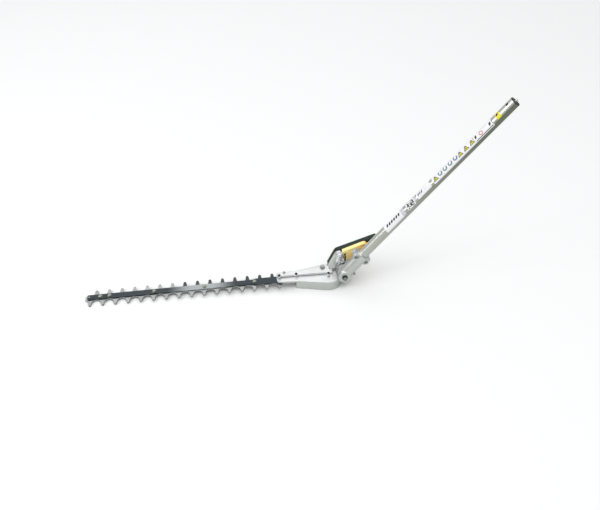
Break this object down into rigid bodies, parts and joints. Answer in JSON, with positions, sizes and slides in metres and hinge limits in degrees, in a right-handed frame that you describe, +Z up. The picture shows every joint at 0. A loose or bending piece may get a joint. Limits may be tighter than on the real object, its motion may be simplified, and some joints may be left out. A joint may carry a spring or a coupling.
{
  "type": "hedge trimmer",
  "caption": "Articulating hedge trimmer head: two toothed blades that slide past each other, a gear case, a locking hinge with a handle, and a tube that plugs into a powered pole.",
  "frame": {"origin": "on the flat face under the gear case, which rests on the ground, 24 mm to the blade side of the crank axis", "axes": "+X from the blades' tip towards the gear case and the tube's side, +Z up, +Y across the blades, away from the hinge bolt's head"},
  "size_m": [1.0726, 0.0841, 0.5443],
  "materials": {
    "cast_aluminium": "die cast, fine blasted",
    "tube_aluminium": "drawn and satin anodised",
    "blade_steel": "stamped, edges ground bright",
    "bar_steel": "rolled, dark, lengthwise grain",
    "zinc_steel": "zinc plated",
    "gear_steel": "machined",
    "bearing_steel": "ground",
    "spring_steel": "drawn wire",
    "brass": "turned",
    "gasket": "pressed sheet",
    "black_rubber": "moulded",
    "black_plastic": "moulded, fine texture",
    "yellow_plastic": "moulded, fine texture"
  },
  "bodies": {
    "gear_case": {"gear_pan": "cast_aluminium", "case_body": "cast_aluminium", "case_cover": "cast_aluminium", "case_gasket": "gasket", "cover_screws": "zinc_steel", "cover_nuts": "zinc_steel", "cover_bolt": "zinc_steel", "pan_screws": "zinc_steel", "crank_bearings": "bearing_steel", "jack_bearings": "bearing_steel", "hinge_bolt": "zinc_steel", "hinge_nut": "zinc_steel", "hinge_washer": "black_rubber", "handle_bracket": "cast_aluminium", "bracket_screws": "zinc_steel", "angle_handle": "black_plastic", "handle_screws": "zinc_steel", "lever_pin": "zinc_steel", "lever_spring": "spring_steel", "guide_bar": "bar_steel", "bar_dowels": "bearing_steel", "blade_bolts": "zinc_steel", "blade_washers": "zinc_steel", "tip_rivet": "zinc_steel"},
    "shaft": {"housing_near": "cast_aluminium", "housing_far": "cast_aluminium", "hinge_bushes": "brass", "index_plate": "gear_steel", "clamp_bolts": "zinc_steel", "clamp_nuts": "zinc_steel", "housing_screws": "zinc_steel", "shaft_tube": "tube_aluminium", "end_bush": "black_plastic", "shaft_liners": "black_rubber", "pinion_bearing": "bearing_steel"},
    "drive_line": {"drive_shaft": "bearing_steel", "drive_pinion": "gear_steel"},
    "hinge_wheels": {"hinge_gears": "gear_steel"},
    "jack": {"jack_shaft": "gear_steel"},
    "crank": {"crank_gear": "gear_steel"},
    "blade_above": {"upper_blade": "blade_steel"},
    "blade_below": {"lower_blade": "blade_steel"},
    "lever": {"lock_lever": "yellow_plastic"},
    "plunger": {"lock_plunger": "bearing_steel"}
  },
  "joints": [
    {"name": "fold", "type": "hinge", "parent": "gear_case", "child": "shaft", "pos_m": [0.065, -0.015, 0.03752], "axis": [0, -1, 0], "range_deg": [-82.4, 37.6]},
    {"name": "drive_spin", "type": "hinge", "parent": "shaft", "child": "drive_line", "pos_m": [0.065, -0.015, 0.03752], "axis": [0.6101, 0, 0.7923], "continuous": true},
    {"name": "hinge_gear_spin", "type": "hinge", "parent": "gear_case", "child": "hinge_wheels", "pos_m": [0.065, 0, 0.03752], "axis": [0, 1, 0], "continuous": true},
    {"name": "jack_spin", "type": "hinge", "parent": "gear_case", "child": "jack", "pos_m": [0.06539, 0.018, 0.02132], "axis": [-0.0237, 0, 0.9997], "continuous": true},
    {"name": "crank_spin", "type": "hinge", "parent": "gear_case", "child": "crank", "pos_m": [0.024, 0, 0.02034], "axis": [-0.0237, 0, 0.9997], "continuous": true},
    {"name": "blade_stroke", "type": "slide", "parent": "gear_case", "child": "blade_above", "axis": [0.9997, 0, 0.0237], "range_m": [-0.0075, 0.0075]},
    {"name": "counter_stroke", "type": "slide", "parent": "gear_case", "child": "blade_below", "axis": [0.9997, 0, 0.0237], "range_m": [-0.0075, 0.0075]},
    {"name": "lever_squeeze", "type": "hinge", "parent": "gear_case", "child": "lever", "pos_m": [0.122, 0.02, 0.103], "axis": [0, 1, 0], "range_deg": [0, 6.5], "stiffness_Nm_per_rad": 1.5, "springref_deg": -5.73},
    {"name": "plunger_lift", "type": "slide", "parent": "gear_case", "child": "plunger", "axis": [0, 0, 1], "range_m": [0, 0.006]}
  ],
  "couplings": [
    {"joint": "jack_spin", "follows": "crank_spin", "ratio": -2.8571},
    {"joint": "hinge_gear_spin", "follows": "crank_spin", "ratio": -2.1429},
    {"joint": "drive_spin", "follows": "crank_spin", "ratio": 3.9796},
    {"joint": "counter_stroke", "follows": "blade_stroke", "ratio": -1},
    {"joint": "plunger_lift", "follows": "lever_squeeze", "m_per_rad": 0.052}
  ]
}
